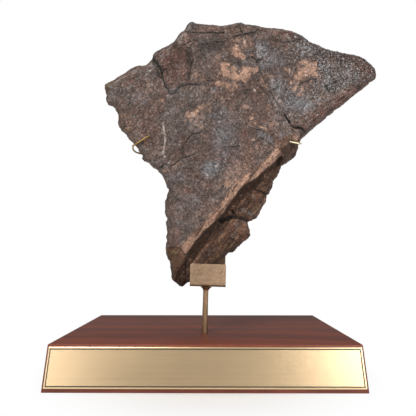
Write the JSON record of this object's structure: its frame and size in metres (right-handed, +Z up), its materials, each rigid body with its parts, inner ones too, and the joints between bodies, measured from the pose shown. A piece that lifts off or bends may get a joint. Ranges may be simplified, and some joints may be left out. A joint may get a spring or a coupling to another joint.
{
  "type": "fossil frill bone on stand",
  "caption": "Broken plate of fossil horned-dinosaur frill bone, held in a bent brass cradle with hook wires, on a short post over a dark wooden base with a blank brass plaque.",
  "frame": {"origin": "middle of the underside of the wooden base", "axes": "+X to the right seen from the front, +Z up; the plaque and the bone's shown face are towards -Y"},
  "size_m": [0.3583, 0.2038, 0.4094],
  "materials": {
    "fossil_bone": "brown-grey mineralised bone with tan breaks under a thin semi-gloss coat",
    "armature_brass": "dull, finely scratched, patinated",
    "plaque_brass": "brushed, with an engraved border line",
    "base_wood": "satin, dark reddish brown, straight grain along X"
  },
  "bodies": {
    "root": {"frill_fragment": "fossil_bone", "cradle": "armature_brass", "post": "armature_brass", "left_hook_wire": "armature_brass", "right_hook_wire": "armature_brass", "plaque": "plaque_brass", "base": "base_wood"}
  },
  "joints": []
}
